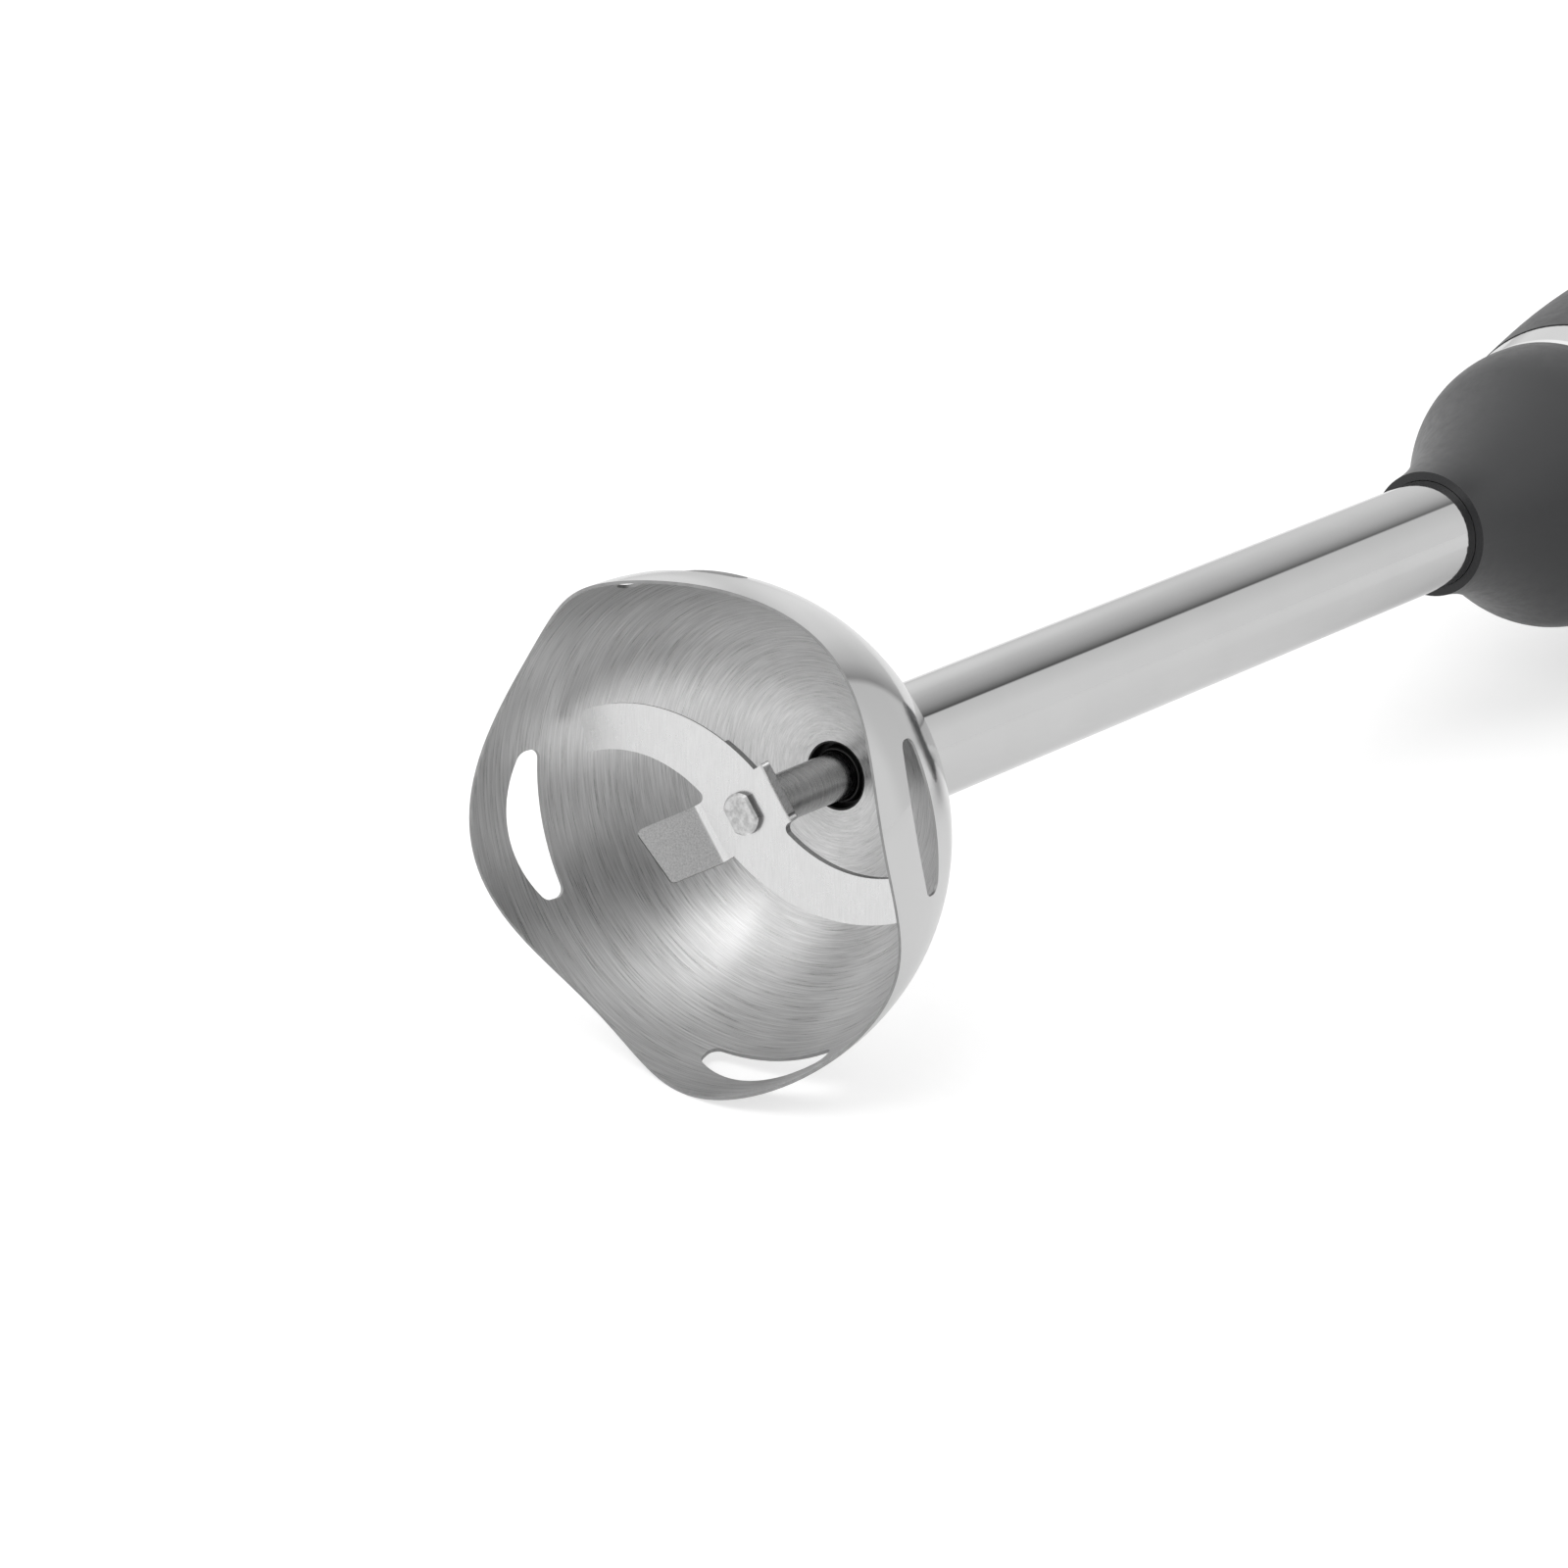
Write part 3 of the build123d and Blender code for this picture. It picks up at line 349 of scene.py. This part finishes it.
SLOT_MATERIALS = {
    "polished_steel": polished_steel(),
    "blade_steel": blade_steel(),
    "dark_steel": dark_steel(),
    "spring_steel": metal("spring_steel", grey(0.62), 0.28, 0.3, 0.004),
    "bronze": metal("bronze", (0.62, 0.40, 0.20, 1), 0.45, 0.3, 0.01),
    "copper": metal("copper", (0.72, 0.36, 0.20, 1), 0.35, 0.5, 0.05),
    "brush_brass": metal("brush_brass", (0.74, 0.56, 0.26, 1), 0.35, 0.4, 0.005),
    "lamination": metal("lamination", grey(0.32), 0.5, 0.5, 0.03),
    "seal_rubber": rubber("seal_rubber", 0.012, 6.0, 0.42),
    "grip_rubber": rubber("grip_rubber", 0.022, 4.0, 0.62),
    "graphite": rubber("graphite", 0.03, 3.0, 0.5),
    "casing_plastic": moulded_plastic("casing_plastic", (0.018, 0.0185, 0.020, 1), 4.5, 0.03, 0.42),
    "collar_plastic": moulded_plastic("collar_plastic", (0.018, 0.0185, 0.020, 1), 4.5, 0.02, 0.36),
    "panel_plastic": moulded_plastic("panel_plastic", (0.04, 0.041, 0.044, 1), 8.0, 0.003, 0.22),
    "button_plastic": moulded_plastic("button_plastic", (0.40, 0.405, 0.41, 1), 6.0, 0.012, 0.34),
    "inner_plastic": moulded_plastic("inner_plastic", (0.20, 0.20, 0.20, 1), 3.0, 0.03, 0.5),
    "board": moulded_plastic("board", (0.03, 0.16, 0.07, 1), 3.0, 0.01, 0.4),
}

for node in nodes.values():
    for slot in node.material_slots:
        slot.material = SLOT_MATERIALS[slot.material.name.split(".")[0]]
nodes["bell_guard"].material_slots[0].material = bell_steel()


# ---- springs ----
def live_spring(node):
    """Coil spring in the shape of its CAD node: a copy carried by the motor unit, with the node
    hidden.

    far_end is True when the spring stands on its end of higher x or z."""
    made = bpy.data.objects.new(node + "_live", nodes[node].data.copy())
    bpy.context.scene.collection.objects.link(made)
    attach(made, "motor_unit")
    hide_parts(node)
    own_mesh(made)


# ---- studio pieces ----
def floor():
    """Pale paper, which the camera sees brighter than the steel's reflections do."""
    mesh = bpy.data.meshes.new("studio_floor")
    corners = [(-FLOOR_REACH, -FLOOR_REACH, 0), (FLOOR_REACH, -FLOOR_REACH, 0),
               (FLOOR_REACH, FLOOR_REACH, 0), (-FLOOR_REACH, FLOOR_REACH, 0)]
    mesh.from_pydata(corners, [], [(0, 1, 2, 3)])
    made = bpy.data.objects.new("studio_floor", mesh)
    bpy.context.scene.collection.objects.link(made)
    paper, tree, shader = material("floor_paper")
    place = add(tree, "ShaderNodeTexCoord").outputs["Object"]
    fibre = noise(tree, place, 300.0, 3.0)
    seen = add(tree, "ShaderNodeLightPath").outputs["Is Camera Ray"]
    set_shader(
        tree, shader,
        Base_Color=mix_colour(tree, fibre, grey(0.44), grey(0.48)),
        Roughness=0.8,
        Specular_IOR_Level=0.1,
        Emission_Color=grey(1.0),
        Emission_Strength=mix(tree, seen, 0.36, 0.60),
        Normal=bump(tree, fibre, 0.05 * MM, 0.2),
    )
    mesh.materials.append(paper)


def levels(tree, place, stops):
    """Grey that follows a list of (place, level) from 0 to 1."""
    ramp = add(tree, "ShaderNodeValToRGB", {0: place})
    for where, level in stops[1:-1]:
        ramp.color_ramp.elements.new(where).color = grey(level)
    ramp.color_ramp.elements[0].color = grey(stops[0][1])
    ramp.color_ramp.elements[-1].color = grey(stops[-1][1])
    return ramp.outputs["Color"]


def surroundings():
    """Pale studio walls with a darker gap behind the handle and a dark side by the camera,
    which polished steel needs to show its shape. The camera itself sees plain white.

    The levels were fitted to the steel's reflections. beside is the gap as the tube shows
    it, and straight_back is the same gap as the bell's outside shows it."""
    world = bpy.data.worlds.new("studio")
    bpy.context.scene.world = world
    world.use_nodes = True
    tree = world.node_tree
    background = tree.nodes["Background"]
    direction = add(tree, "ShaderNodeTexCoord").outputs["Generated"]
    parts = add(tree, "ShaderNodeSeparateXYZ", {0: direction}).outputs
    across_gap = vector_math(tree, "DOT_PRODUCT", direction, ACROSS_THE_GAP)
    across_gap = remap(tree, across_gap, (-1, 1), (0, 1))
    beside = levels(tree, across_gap, [
        (0.0, 1.0), (0.23, 0.92), (0.266, 0.72), (0.31, 0.60), (0.36, 0.50), (0.411, 0.38),
        (0.46, 0.22), (0.492, 0.10), (0.508, 0.76), (0.60, 0.82), (0.70, 0.90), (1.0, 0.92),
    ])
    straight_back = levels(tree, across_gap, [
        (0.0, 1.0), (0.29, 1.0), (0.39, 0.86), (0.45, 0.62), (0.492, 0.34), (0.508, 0.70), (1.0, 0.88),
    ])
    farther = remap(tree, parts["Y"], (0.78, 0.90), (0, 1), smooth=True)
    far = mix_colour(tree, farther, beside, straight_back)
    behind = remap(tree, parts["Y"], (0.5, 0.75), (0, 1), smooth=True)
    front = remap(tree, parts["Z"], (0.0, 0.8), (0.84, 1.35))
    walls = mix_colour(tree, behind, front, far)
    dark_side = vector_math(tree, "DOT_PRODUCT", direction, CAMERA_SIDE)
    dark_side = remap(tree, dark_side, (0.85, 0.97), (0, 1), smooth=True)
    walls = mix_colour(tree, dark_side, walls, grey(0.24))
    seen = add(tree, "ShaderNodeLightPath").outputs["Is Camera Ray"]
    tree.links.new(mix_colour(tree, seen, walls, grey(1.0)), background.inputs["Color"])


def softbox(name, place, target, size, power):
    """Square soft light that faces its target."""
    light = bpy.data.lights.new(name, "AREA")
    light.shape = "SQUARE"
    light.size = size
    light.energy = power
    made = bpy.data.objects.new(name, light)
    made.location = place
    made.rotation_euler = (Vector(target) - Vector(place)).to_track_quat("-Z", "Y").to_euler()
    bpy.context.scene.collection.objects.link(made)


def camera():
    """Long lens, low in front of the bell and to its right."""
    data = bpy.data.cameras.new("camera")
    data.lens = LENS
    data.sensor_width = SENSOR
    made = bpy.data.objects.new("camera", data)
    made.location = BELL_CENTRE + CAMERA_OFFSET
    made.rotation_euler = VIEW_DIRECTION.to_track_quat("-Z", "Y").to_euler()
    bpy.context.scene.collection.objects.link(made)
    bpy.context.scene.camera = made


live_spring("on_spring")
live_spring("turbo_spring")
live_spring("release_spring_left")
live_spring("release_spring_right")
floor()
surroundings()
softbox("key", KEY_PLACE, BELL_CENTRE, KEY_SIZE, KEY_POWER)
camera()
bpy.context.scene.view_settings.view_transform = "Standard"
